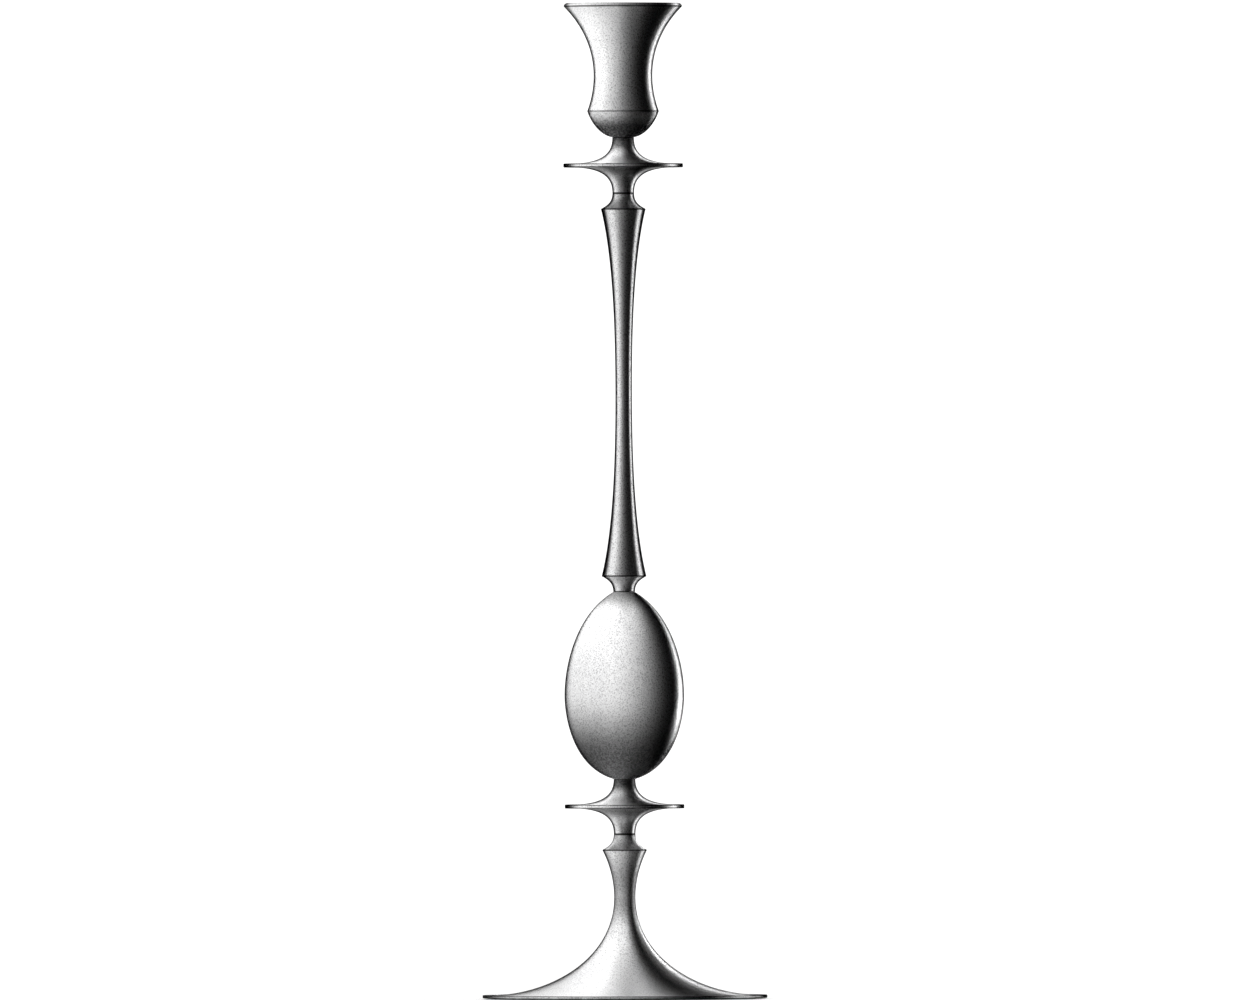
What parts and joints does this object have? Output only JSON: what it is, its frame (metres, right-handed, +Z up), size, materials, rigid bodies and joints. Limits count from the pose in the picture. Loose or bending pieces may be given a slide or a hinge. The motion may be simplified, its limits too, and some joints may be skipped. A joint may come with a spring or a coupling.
{
  "type": "candlestick",
  "caption": "Tall turned silver candlestick: flared candle cup and thin disc over a waisted column, then an egg-shaped knop and a matching disc over a wide trumpet foot.",
  "frame": {"origin": "on the candlestick's axis, at the floor under its felt pad", "axes": "+Z up along the candlestick's axis; it is round, so +X and +Y may face anywhere"},
  "size_m": [0.1348, 0.1348, 0.4716],
  "materials": {
    "silver_plate": "gloss",
    "inner_brass": "satin",
    "fixing_steel": "satin",
    "ballast_iron": "matte",
    "felt": "matte"
  },
  "bodies": {
    "foot": {"base": "silver_plate", "base_weight": "ballast_iron", "base_washer": "fixing_steel", "base_nut": "fixing_steel", "base_pad": "felt", "tie_rod": "inner_brass"},
    "lower_disc": {"lower_disc": "silver_plate"},
    "stem": {"egg_lower_shell": "silver_plate", "egg_upper_shell": "silver_plate", "egg_core": "inner_brass", "middle_stud": "inner_brass", "column": "silver_plate", "top_stud": "inner_brass"},
    "upper_disc": {"upper_disc": "silver_plate"},
    "cup": {"candle_cup": "silver_plate"}
  },
  "joints": [
    {"name": "stem_turn", "type": "hinge", "parent": "foot", "child": "lower_disc", "pos_m": [0, 0, 0.09115], "axis": [0, 0, 1], "range_deg": [0, 2520]},
    {"name": "stem_rise", "type": "slide", "parent": "lower_disc", "child": "stem", "axis": [0, 0, 1], "range_m": [0, 0.007]},
    {"name": "cup_turn", "type": "hinge", "parent": "stem", "child": "upper_disc", "pos_m": [0, 0, 0.39465], "axis": [0, 0, 1], "range_deg": [0, 2520]},
    {"name": "cup_rise", "type": "slide", "parent": "upper_disc", "child": "cup", "axis": [0, 0, 1], "range_m": [0, 0.007]}
  ],
  "couplings": [
    {"joint": "stem_rise", "follows": "stem_turn", "m_per_rad": 0.00015915},
    {"joint": "cup_rise", "follows": "cup_turn", "m_per_rad": 0.00015915}
  ]
}
